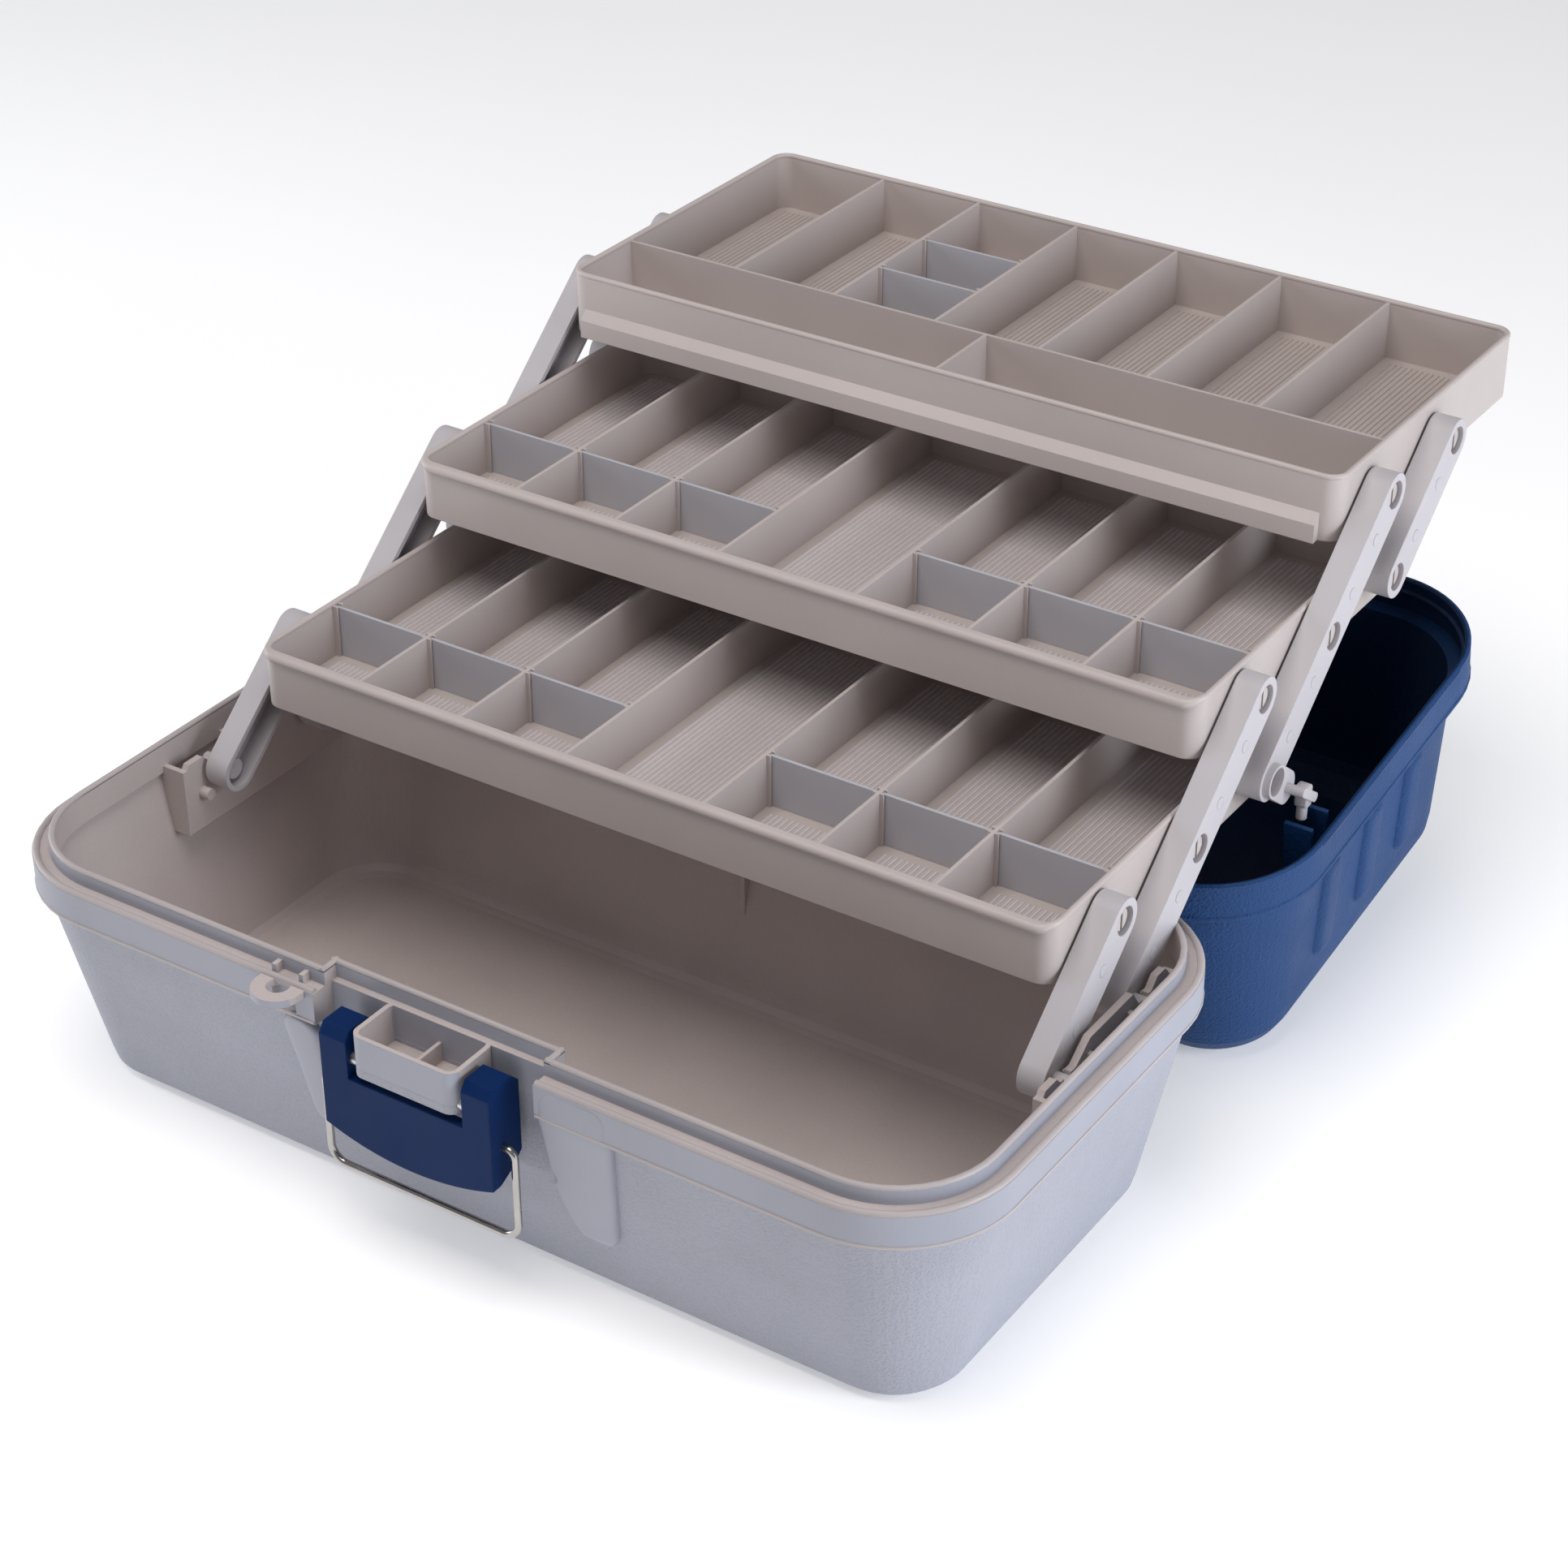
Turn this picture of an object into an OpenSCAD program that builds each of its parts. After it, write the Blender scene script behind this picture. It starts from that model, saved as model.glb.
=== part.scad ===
// Cantilever tackle box, shown open: a moulded tub, a lid thrown back on to the table behind it,
// and three compartment trays that swing out on four pairs of parallel arms.
// +X is the box's right, +Y its back, +Z up. The origin is the centre of the tub's bottom face.

/* [Tub] */
// width over the flange
flange_w = 440; // [420:2:460]
// depth over the flange
flange_d = 224; // [216:2:236]
// plan radius of the flange corners
flange_r = 49; // [40:1:60]
// height of the flange's top face
tub_h = 103; // [95:1:112]
// height of the smooth band below the flange
skirt_h = 14; // [10:1:18]
// how far the drafted body steps in under the band
skirt_step = 3.5; // [2:0.5:5]
// width of the bottom, over its rounded edge
bottom_w = 402; // [390:2:410]
// depth of the bottom, over its rounded edge
bottom_d = 182; // [176:2:192]
// plan radius of the bottom corners
bottom_r = 31; // [25:1:38]
// radius of the bottom edge
bottom_round = 10; // [6:1:14]
// wall and floor thickness
tub_wall = 3; // [2.5:0.5:4]

/* [Closing lip] */
// height of the lip above the flange
lip_h = 6; // [4:1:8]
// lip thickness
lip_t = 2.5; // [2:0.5:3]
// distance from the flange's edge to the lip
lip_inset = 7; // [6:0.5:9]

/* [Lid] */
// how far the lid is thrown back from closed, in degrees
open_angle = 171.5; // [168:0.5:173]
// height of the plain band round the lid's mouth
band_h = 18; // [14:1:22]
// how far the lid body steps in above the band
band_step = 6.4; // [4:0.2:8]
// extra taper of the lid walls up to the crown
lid_taper = 7.4; // [4:0.2:9]
// radius of the crown's edge
crown_r = 20; // [14:1:24]
// wall thickness
lid_wall = 2.5; // [2:0.5:3]
// hinge axis behind the flange
hinge_back = 6; // [5:0.5:8]

/* [Arms] */
// pitch of the pivots along each tray
pivot_pitch = 58; // [54:1:60]
// length between two pivots of one arm
arm_len = 63.13; // [60:0.01:66]
// slope of the arms when the box is open, in degrees
arm_slope = 40.5; // [38:0.5:44]
// width of an arm
arm_w = 18; // [16:1:19]
// thickness of an arm, outwards
arm_t = 11; // [9:1:12]
// radius of the tray pins
pin_r = 3.5; // [3:0.25:4]
// place of the front pair's pivots on the tub, along Y
arm_y = 3; // [0:1:8]
// height of the arm pivots on the tub
arm_z = 94.5; // [92:0.5:96]

/* [Trays] */
// width of a tray
tray_w = 371.6; // [366:0.2:374]
// depth of a tray
tray_d = 168; // [160:1:172]
// height of the two lower trays
tray_h = 26; // [22:1:27]
// height of the top tray
top_tray_h = 28; // [26:1:30]
// wall thickness
tray_wall = 2; // [1.6:0.2:2.4]
// thickness of the fixed ribs between compartments
rib_t = 1.6; // [1.2:0.2:2]
// radius of a tray's corners
tray_r = 8; // [6:1:10]
// distance from a lower tray's front to its first pin
first_pin = 32; // [30:1:36]
// distance from the top tray's front to its first pin
top_first_pin = 26.5; // [24:0.5:30]

/* [Latch] */
// half width of the recess in the tub's front
recess_x = 50.5; // [48:0.5:54]
// half width of the latch lever
lever_x = 39; // [36:0.5:42]
// radius of the bail's wire
wire_r = 1.5; // [1.2:0.1:1.8]
// length of the bail's legs
bail_len = 40; // [36:1:42]

/* [Handle] */
// half distance between the handle's arms
handle_x = 62; // [50:1:70]
// length of the handle's arms
handle_len = 36; // [30:1:40]
// half thickness of the handle
handle_r = 4.5; // [4:0.25:5]

/* [Hidden] */
$fn = 64;
eps = 0.01;
running = 0.06;
gap = 0.3;

shell_grey = [0.72, 0.71, 0.73];
tray_grey = [0.70, 0.67, 0.66];
arm_grey = [0.68, 0.66, 0.67];
lid_blue = [0.13, 0.22, 0.42];
steel = [0.75, 0.75, 0.76];

// hinge line of the lid and the tilt of its mouth when open
hinge_y = flange_d / 2 + hinge_back;
hinge_z = tub_h;
tilt = 180 - open_angle;
lid_w = flange_w - 1;
lid_d = flange_d - 1;
lid_r = flange_r - 0.5;
// the open lid's crown just reaches the table, which sets the lid's depth
crown_inset = band_step + lid_taper + crown_r;
crown_back = hinge_back + 0.5 + crown_inset;
lid_h = crown_r + (hinge_z + crown_back * sin(tilt) - crown_r - 0.05) / cos(tilt);
crown_z = tub_h + lid_h;
hinge_x = 120;
knuckle_r = 4.2;
hinge_pin_r = 2;

// plan of the recess that the latch sits in
recess_y = -101;
recess_back = -95.5;
recess_z = 55;
pocket_x = 24;
pocket_y = -124;
pocket_z = 85;
pocket_wall = 2;
padlock_at = [-65, -114.5];
padlock_r = 4.6;
lever_pivot = [-119, 88.5];
lever_pin_r = 2.5;
lever_front = -123;
lever_plate = 4.5;
lever_back = -105.5;
lever_top = 101;
lever_low = 50;
notch_x = 26.5;
notch_z = 81;
bail_pivot = [-116, 73];
bail_x = lever_x + 5;

// arms: pivots on the tub (row 0), the lower, middle and top tray (rows 1, 2, 3)
arm_in = tray_w / 2 + 1;
arm_out = arm_in + arm_t;
web_t = 2.5;
boss_r = 8;
trunnion_r = 3;
step_y = arm_len * cos(arm_slope);
step_z = arm_len * sin(arm_slope);
bracket_in = arm_out + 2;
bracket_t = 3;
function pivot(column, row) = [arm_y + column * pivot_pitch + row * step_y, arm_z + row * step_z];

// fronts and rims of the trays
rim_over_pin = 10;
top_rim_over_pin = 14;
tray_1_at = pivot(0, 1) + [-first_pin, rim_over_pin];
tray_2_at = pivot(1, 2) + [-first_pin, rim_over_pin];
tray_3_at = pivot(2, 3) + [-top_first_pin, top_rim_over_pin];
front_cell_d = 46.5;
plate_t = 1.5;
guide_t = 1.2;
guide_out = 1.5;
trough_d = 44;
rib_x = [32.5, 84, 134.5];
top_rib_x = [25.5, 76.5, 128];
small_plate_y = [81, 118];
tray_floor = 1.8;
top_step = 4;

// the guide ribs in the lid, and the peg on the rear arms that runs between them
guide_x = 200;
guide_y = [178.5, 191.5];
peg_at = [204, 185];
peg_low = 111;

// handle, lying on the table under the open lid
handle_pivot_back = 111;
handle_z = handle_r + 0.05;
crown_world_z = hinge_z + handle_pivot_back * sin(tilt) - lid_h * cos(tilt);
handle_off = (crown_world_z - handle_z) / cos(tilt);
handle_y = hinge_y + handle_pivot_back * cos(tilt) + (lid_h + handle_off) * sin(tilt);
handle_pin_r = 2.5;

// plan of a rounded rectangle
module rounded_plan(w, d, r) {
    square([w - 2 * r, d], center = true);
    square([w, d - 2 * r], center = true);
    for (x = [-1, 1], y = [-1, 1])
        translate([x * (w / 2 - r), y * (d / 2 - r)])
            circle(r);
}

// upright prism on a rounded rectangle
module slab(w, d, r, z, h) {
    translate([0, 0, z])
        linear_extrude(h)
            rounded_plan(w, d, r);
}

// outline drawn in Y and Z, extruded along X from x0 to x1
module across(x0, x1) {
    translate([x0, 0, 0])
        rotate([90, 0, 90])
            linear_extrude(x1 - x0)
                children();
}

// cylinder along X through the point [y, z]
module rod_x(at, r, x0, x1) {
    translate([x0, at[0], at[1]])
        rotate([0, 90, 0])
            cylinder(r = r, h = x1 - x0);
}

// box from corner to corner
module box(low, high) {
    translate(low)
        cube(high - low);
}

// both halves of a feature that is the same on the left and on the right
module both_sides() {
    children();
    mirror([1, 0, 0])
        children();
}

// the lid's modules are drawn closed and swung open about the hinge line
module swung_open() {
    translate([0, hinge_y, hinge_z])
        rotate([-open_angle, 0, 0])
            translate([0, -hinge_y, -hinge_z])
                children();
}

// ---- tub

module tub_outside() {
    hull() {
        for (a = [0:30:90]) {
            inset = bottom_round * (1 - sin(a));
            slab(bottom_w - 2 * inset, bottom_d - 2 * inset, bottom_r - inset,
                 bottom_round * (1 - cos(a)), eps);
        }
        slab(flange_w - 2 * skirt_step, flange_d - 2 * skirt_step, flange_r - skirt_step,
             tub_h - skirt_h, eps);
    }
}

module tub_cavity() {
    round_in = bottom_round - tub_wall;
    hull() {
        for (a = [0:30:90]) {
            inset = tub_wall + round_in * (1 - sin(a));
            slab(bottom_w - 2 * inset, bottom_d - 2 * inset, bottom_r - inset,
                 tub_wall + round_in * (1 - cos(a)), eps);
        }
        slab(flange_w - 4 * skirt_step, flange_d - 4 * skirt_step, flange_r - 2 * skirt_step,
             tub_h - skirt_h / 2, eps);
    }
}

module lip_ring() {
    inner = lip_inset + lip_t;
    difference() {
        slab(flange_w - 2 * lip_inset, flange_d - 2 * lip_inset, flange_r - lip_inset, tub_h - 1, lip_h + 1);
        slab(flange_w - 2 * inner, flange_d - 2 * inner, flange_r - inner, tub_h - 2, lip_h + 4);
    }
}

// the tub's wall and lip set back behind the latch
module recess_wall() {
    intersection() {
        tub_solid();
        box([-recess_x - lip_t, recess_y, recess_z - 12], [recess_x + lip_t, recess_back, tub_h]);
    }
    box([-recess_x - lip_t, recess_back - lip_t, tub_h - 1], [recess_x + lip_t, recess_back, tub_h + lip_h]);
    both_sides()
        box([recess_x, -flange_d / 2 + lip_inset, recess_z], [recess_x + lip_t, recess_back, tub_h + lip_h]);
}

// open-topped pocket in front of the recess, which carries the latch
module latch_pocket() {
    deep = 26;
    difference() {
        translate([0, pocket_y + deep / 2, 0])
            slab(2 * pocket_x, deep, 5, pocket_z, tub_h - pocket_z);
        translate([0, pocket_y + deep / 2, 0])
            slab(2 * (pocket_x - pocket_wall), deep - 2 * pocket_wall, 3, pocket_z + pocket_wall, tub_h);
        rod_x(lever_pivot, lever_pin_r, -pocket_x - 1, -pocket_x + pocket_wall + 1);
        rod_x(lever_pivot, lever_pin_r, pocket_x - pocket_wall - 1, pocket_x + 1);
    }
    for (x = [-1, 18])
        box([x, pocket_y + 1, pocket_z + 1], [x + 1.6, recess_y + 1, tub_h - 8]);
}

// padlock eye beside the latch, with two gussets up to the lip
module padlock_eye() {
    difference() {
        union() {
            translate([padlock_at[0], padlock_at[1], tub_h - 3])
                cylinder(r = 10.5, h = 3);
            box([padlock_at[0] - 10.5, padlock_at[1], tub_h - 3],
                [padlock_at[0] + 10.5, padlock_at[1] + 8, tub_h]);
        }
        translate([padlock_at[0], padlock_at[1], tub_h - 4])
            cylinder(r = padlock_r, h = 5);
    }
    for (x = [-7.5, 5.5])
        box([padlock_at[0] + x, -flange_d / 2 + lip_inset - 4, tub_h - 1],
            [padlock_at[0] + x + 2, -flange_d / 2 + lip_inset + 1, tub_h + 4]);
}

// moulded box on the end wall whose web holds the trunnions of arms A and B
module arm_bracket() {
    front = arm_y - 20;
    rear = arm_y + pivot_pitch + 20;
    low = arm_z - 26;
    top = arm_z + 4.5;
    wall_x = flange_w / 2 - 5;
    rear_arm = arm_y + pivot_pitch;
    difference() {
        union() {
            across(bracket_in, bracket_in + bracket_t)
                polygon([[front, low], [rear, low], [rear, top - 2], [rear - 5, top + 3],
                         [rear_arm + 9, top + 3], [rear_arm + 5, top - 1], [rear_arm - 5, top - 1],
                         [rear_arm - 10, top + 6], [arm_y + 16, top + 6], [arm_y + 6, top - 1],
                         [arm_y - 5, top - 1], [arm_y - 8, top + 2], [front + 4, top + 2], [front, top - 3]]);
            rod_x([arm_y - 9.5, arm_z - 9.5], 2.6, bracket_in - 4.5, bracket_in + 1);
            for (y = [front, arm_y + 14, arm_y + pivot_pitch - 14, rear - 2.5])
                box([bracket_in, y, low], [wall_x, y + 2.5, top]);
            box([bracket_in, front, low], [wall_x, rear, low + 2.5]);
        }
        for (column = [0, 1]) {
            at = pivot(column, 0);
            rod_x(at, trunnion_r + running, bracket_in - 1, bracket_in + bracket_t + 1);
            box([bracket_in - 1, at[0] - 2.6, at[1]], [bracket_in + bracket_t + 1, at[0] + 2.6, top + 1]);
        }
    }
}

// hinge lugs behind the flange, two at each station, with the pin's bore
module base_knuckles() {
    for (side = [-1, 1], offset = [-11, 11]) {
        x = side * hinge_x + offset;
        difference() {
            union() {
                rod_x([hinge_y, hinge_z], knuckle_r, x - 3, x + 3);
                box([x - 3, flange_d / 2 - 4, hinge_z - knuckle_r], [x + 3, hinge_y, hinge_z]);
            }
            rod_x([hinge_y, hinge_z], hinge_pin_r, x - 4, x + 4);
        }
    }
}

// the tub before it is hollowed
module tub_solid() {
    tub_outside();
    slab(flange_w, flange_d, flange_r, tub_h - skirt_h, skirt_h);
}

// the padlock's hole through the flange, and room for its shackle below the eye
module padlock_notch() {
    at = padlock_at;
    half = padlock_r + 0.9;
    translate([at[0], at[1], tub_h - 3])
        cylinder(r = padlock_r, h = 4);
    box([at[0] - half, -flange_d / 2 - 1, tub_h - skirt_h - 1], [at[0] + half, at[1] + half, tub_h - 3]);
}

module base_tub() {
    cavity_inset = lip_inset + lip_t;
    color(shell_grey) {
        difference() {
            tub_solid();
            tub_cavity();
            slab(flange_w - 2 * cavity_inset, flange_d - 2 * cavity_inset, flange_r - cavity_inset,
                 tub_h - skirt_h, skirt_h + 1);
            box([-recess_x, -flange_d, recess_z], [recess_x, recess_y, tub_h + 1]);
            padlock_notch();
        }
        difference() {
            lip_ring();
            box([-recess_x, -flange_d, tub_h - 2], [recess_x, recess_back - 5, tub_h + lip_h + 1]);
        }
        recess_wall();
        latch_pocket();
        padlock_eye();
        intersection() {
            union() {
                tub_solid();
                slab(flange_w - 16, flange_d - 16, flange_r - 8, tub_h - 1, 3.5);
            }
            union() {
                both_sides()
                    arm_bracket();
                box([-1.2, flange_d / 2 - 18, tub_wall], [1.2, flange_d / 2 - 8, tub_h - 2]);
            }
        }
        base_knuckles();
    }
}

// ---- lid

// the lid's body above its band, grown or shrunk by an inset
module lid_body(inset) {
    edge = crown_r - inset;
    hull() {
        slab(lid_w - 2 * (band_step + inset), lid_d - 2 * (band_step + inset),
             lid_r - band_step - inset, tub_h + band_h - 2 - inset, eps);
        for (a = [0, 20.4, 40.8, 61.1, 81.5, 90]) {
            side = band_step + lid_taper + inset + edge * (1 - cos(a));
            slab(lid_w - 2 * side, lid_d - 2 * side, lid_r - side,
                 crown_z - crown_r + edge * sin(a) - eps, eps);
        }
    }
}

// knuckles that turn on the hinge pins, each on a foot from the lid's band
module lid_knuckles() {
    for (side = [-1, 1]) {
        x = side * hinge_x;
        difference() {
            union() {
                rod_x([hinge_y, hinge_z], knuckle_r, x - 7.7, x + 7.7);
                box([x - 7.7, lid_d / 2 - 1, hinge_z + gap], [x + 7.7, hinge_y, hinge_z + knuckle_r]);
            }
            rod_x([hinge_y, hinge_z], hinge_pin_r + running, x - 9, x + 9);
        }
    }
}

// hooked catch for the bail, on the front of the band
module lid_catch() {
    across(-18, 18)
        polygon([[-lid_d / 2 + 1, tub_h + 5], [-lid_d / 2 - 8, tub_h + 7], [-lid_d / 2 - 8, tub_h + 15],
                 [-lid_d / 2 - 5.5, tub_h + 15], [-lid_d / 2 - 4, tub_h + 10], [-lid_d / 2 + 1, tub_h + 10]]);
}

// three raised bars on each end wall
module lid_bars() {
    slant = atan(lid_taper / (lid_h - crown_r - band_h + 2));
    above_band = 16;
    wall_x = lid_w / 2 - band_step + 1 - (above_band + 2) * tan(slant);
    for (y = [-37.5, 0, 37.5])
        translate([wall_x, y - 4.5, tub_h + band_h + above_band])
            rotate([0, -slant, 0])
                translate([-1, 0, 0])
                    cube([2.2, 9, 40]);
}

// ears on the crown that the carry handle turns in
module handle_ears() {
    y = hinge_y - handle_pivot_back;
    at = [y, crown_z + handle_off];
    both_sides()
        difference() {
            union() {
                rod_x(at, 4, handle_x + 5, handle_x + 12);
                box([handle_x + 5, y - 4, crown_z - 1], [handle_x + 12, y + 4, crown_z + handle_off]);
            }
            rod_x(at, handle_pin_r + running, handle_x + 4, handle_x + 10);
        }
}

// a pair of ribs inside each end wall, between which the rear arms' peg runs
module lid_guides() {
    intersection() {
        union() {
            slab(lid_w - 2.4, lid_d - 2.4, lid_r - 1.2, tub_h + gap, band_h - gap);
            lid_body(1.2);
        }
        for (y = guide_y) {
            back = (y - hinge_y) / cos(tilt);
            box([guide_x, hinge_y - back - 1, tub_h + 0.8],
                [lid_w / 2 - band_step - 1, hinge_y - back + 1, tub_h + 46]);
        }
    }
}

module lid_shell() {
    color(lid_blue)
        swung_open() {
            difference() {
                union() {
                    slab(lid_w, lid_d, lid_r, tub_h + gap, band_h - gap);
                    lid_body(0);
                }
                slab(lid_w - 2 * lid_wall, lid_d - 2 * lid_wall, lid_r - lid_wall, tub_h, band_h - lid_wall);
                lid_body(lid_wall);
            }
            lid_knuckles();
            lid_catch();
            both_sides() {
                lid_bars();
                lid_guides();
            }
            handle_ears();
        }
}

// headed steel pin of one hinge station
module hinge_pin(side) {
    x = side * hinge_x;
    color(steel) {
        rod_x([hinge_y, hinge_z], hinge_pin_r, x - 14.5, x + 14.5);
        rod_x([hinge_y, hinge_z], 3.2, x + side * 15.2 - 0.7, x + side * 15.2 + 0.7);
    }
}

module hinge_pin_left() {
    hinge_pin(-1);
}

module hinge_pin_right() {
    hinge_pin(1);
}

// ---- latch

module lever_cheek() {
    difference() {
        across(notch_x, lever_x)
            polygon([[lever_front, lever_low], [lever_front, lever_top - 4], [lever_front + 3, lever_top],
                     [lever_back - 4, lever_top], [lever_back, lever_top - 4], [lever_back, 66],
                     [lever_back - 5, 61], [lever_front + lever_plate, 57],
                     [lever_front + lever_plate, lever_low]]);
        rod_x(lever_pivot, lever_pin_r + running, notch_x - 1, lever_x - 1.5);
        rod_x(bail_pivot, wire_r + running, lever_x - 8.5, lever_x + 1);
    }
}

// the lever wraps round the pocket: two cheeks and a front plate with a bowed lower edge
module latch_lever() {
    edge_r = 112;
    color(lid_blue)
        intersection() {
            union() {
                both_sides()
                    lever_cheek();
                box([-notch_x - 1, lever_front, lever_low],
                    [notch_x + 1, lever_front + lever_plate, notch_z]);
            }
            translate([0, 0, lever_low + edge_r])
                rotate([90, 0, 0])
                    cylinder(r = edge_r, h = 400, center = true, $fn = 160);
        }
}

// two stub axles pressed into the pocket's side walls
module latch_pins() {
    color(steel)
        both_sides()
            rod_x(lever_pivot, lever_pin_r, pocket_x - pocket_wall, lever_x - 2.5);
}

// one bend of the wire in the plane of the bail, from angle a through 90 degrees
module wire_bend(x, z, bend_r, a) {
    translate([x, bail_pivot[0], z])
        rotate([90, a, 0])
            rotate_extrude(angle = 90)
                translate([bend_r, 0])
                    circle(wire_r, $fn = 32);
}

module bail_half() {
    top_r = 3.5;
    low_r = 7;
    z = bail_pivot[1];
    rod_x(bail_pivot, wire_r, lever_x - 8, bail_x - top_r, $fn = 32);
    wire_bend(bail_x - top_r, z - top_r, top_r, 0);
    translate([bail_x, bail_pivot[0], z - bail_len + low_r])
        cylinder(r = wire_r, h = bail_len - low_r - top_r, $fn = 32);
    wire_bend(bail_x - low_r, z - bail_len + low_r, low_r, 90);
    rod_x([bail_pivot[0], z - bail_len], wire_r, 0, bail_x - low_r, $fn = 32);
}

module bail_wire() {
    color(steel)
        both_sides()
            bail_half();
}

// ---- carry handle

module carry_handle() {
    at = [handle_y, handle_z];
    color(lid_blue) {
        both_sides() {
            rod_x(at, handle_pin_r, handle_x, handle_x + 9.5);
            rod_x(at, handle_r, handle_x - 4.5, handle_x + 4.5);
            box([handle_x - 4.5, handle_y, handle_z - 3],
                [handle_x + 4.5, handle_y + handle_len, handle_z + 3]);
        }
        rod_x([handle_y + handle_len, handle_z], handle_r, -handle_x - 4.5, handle_x + 4.5);
    }
}

// ---- arms

module arm_plan(from, to, w) {
    reach = to - from;
    translate(from)
        circle(w / 2);
    translate(to)
        circle(w / 2);
    translate(from)
        rotate(atan2(reach[1], reach[0]))
            translate([0, -w / 2])
                square([norm(reach), w]);
}

// channel with its web outwards; bored at each tray pivot, with a round sinking for the pin's head
module arm(from, to, pivots) {
    color(arm_grey)
        difference() {
            union() {
                difference() {
                    across(arm_in, arm_out)
                        arm_plan(from, to, arm_w);
                    across(arm_in - 1, arm_out - web_t)
                        arm_plan(from, to, arm_w - 4.4);
                }
                for (at = pivots)
                    rod_x(at, boss_r, arm_in, arm_out);
            }
            for (at = pivots) {
                rod_x(at, pin_r + running, arm_in - 1, arm_out + 1);
                rod_x(at, 5.8, arm_out - 3.5, arm_out + 1);
            }
        }
}

// trunnion and its inner boss at the foot of an arm that turns in the tub
module trunnion(at) {
    color(arm_grey) {
        rod_x(at, trunnion_r, arm_out - 1, arm_out + 7.5);
        rod_x(at, trunnion_r + 1.4, arm_in + 3, arm_out - 1);
    }
}

module arm_a() {
    arm(pivot(0, 0), pivot(0, 1), [pivot(0, 1)]);
    trunnion(pivot(0, 0));
}

module arm_b() {
    arm(pivot(1, 0), pivot(1, 2), [pivot(1, 1), pivot(1, 2)]);
    trunnion(pivot(1, 0));
}

// the rear arm's foot carries a bar and a peg that run in the lid's guides
module arm_c() {
    foot = pivot(2, 1);
    bar = [foot + [9, -7], foot + [19, -14]];
    arm(foot, pivot(2, 3), [foot, pivot(2, 2), pivot(2, 3)]);
    color(arm_grey) {
        difference() {
            across(arm_out - 0.5, arm_out + 3)
                arm_plan(foot, bar[0], arm_w - 4);
            rod_x(foot, 5.8, arm_out - 1, arm_out + 4);
        }
        across(arm_out + 0.4, arm_out + 11)
            arm_plan(bar[0], bar[1], 4);
        translate([peg_at[0], peg_at[1], peg_low])
            cylinder(r = 2.2, h = foot[1] - 12 - peg_low);
    }
}

module arm_d() {
    arm(pivot(3, 2), pivot(3, 3), [pivot(3, 2), pivot(3, 3)]);
}

module arm_a_left() {
    mirror([1, 0, 0])
        arm_a();
}

module arm_a_right() {
    arm_a();
}

module arm_b_left() {
    mirror([1, 0, 0])
        arm_b();
}

module arm_b_right() {
    arm_b();
}

module arm_c_left() {
    mirror([1, 0, 0])
        arm_c();
}

module arm_c_right() {
    arm_c();
}

module arm_d_left() {
    mirror([1, 0, 0])
        arm_d();
}

module arm_d_right() {
    arm_d();
}

// ---- trays

// outer walls and floor of a tray whose front rim is at the point [y, z]
module tray_shell(at, h) {
    translate([0, at[0] + tray_d / 2, at[1] - h])
        difference() {
            slab(tray_w, tray_d, tray_r, 0, h);
            slab(tray_w - 2 * tray_wall, tray_d - 2 * tray_wall, tray_r - tray_wall, tray_floor, h);
        }
}

// fixed rib from front to back
module rib_y(x, y0, y1, z0, z1) {
    box([x - rib_t / 2, y0, z0], [x + rib_t / 2, y1, z1]);
}

// two small ribs that hold the edge of a loose plate, on one side of a wall at x
module plate_guides(x, side, y, z0, z1) {
    reach = [x, x + side * (rib_t / 2 + guide_out)];
    for (offset = [-plate_t / 2 - gap - guide_t, plate_t / 2 + gap])
        box([min(reach), y + offset, z0], [max(reach), y + offset + guide_t, z1]);
}

// split snap pins on both ends of a tray, one for each arm that carries it
module tray_pins(pivots) {
    both_sides()
        for (at = pivots)
            difference() {
                union() {
                    rod_x(at, pin_r, tray_w / 2 - 1, arm_out - 1.6);
                    rod_x(at, pin_r + 0.9, arm_out - 3, arm_out - 1.6);
                }
                box([arm_out - 7, at[0] - 0.7, at[1] - 6], [arm_out, at[0] + 0.7, at[1] + 6]);
            }
}

// lower trays: seven columns, with a loose plate across every column but the middle one
module lower_tray(at, pivots) {
    floor_z = at[1] - tray_h + tray_floor - 0.5;
    top = at[1] - 0.8;
    color(tray_grey) {
        tray_shell(at, tray_h);
        rod_x([at[0], at[1] - 2], 2, -tray_w / 2 + tray_r, tray_w / 2 - tray_r);
        both_sides()
            for (x = rib_x)
                rib_y(x, at[0] + 1, at[0] + tray_d - 1, floor_z, top);
        both_sides() {
            y = at[0] + front_cell_d;
            plate_guides(rib_x[0], 1, y, floor_z, top);
            for (x = [rib_x[1], rib_x[2]], side = [-1, 1])
                plate_guides(x, side, y, floor_z, top);
            plate_guides(tray_w / 2 - tray_wall, -1, y, floor_z, top);
        }
        tray_pins(pivots);
    }
}

module tray_1() {
    lower_tray(tray_1_at, [pivot(0, 1), pivot(1, 1), pivot(2, 1)]);
}

module tray_2() {
    lower_tray(tray_2_at, [pivot(1, 2), pivot(2, 2), pivot(3, 2)]);
}

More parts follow.
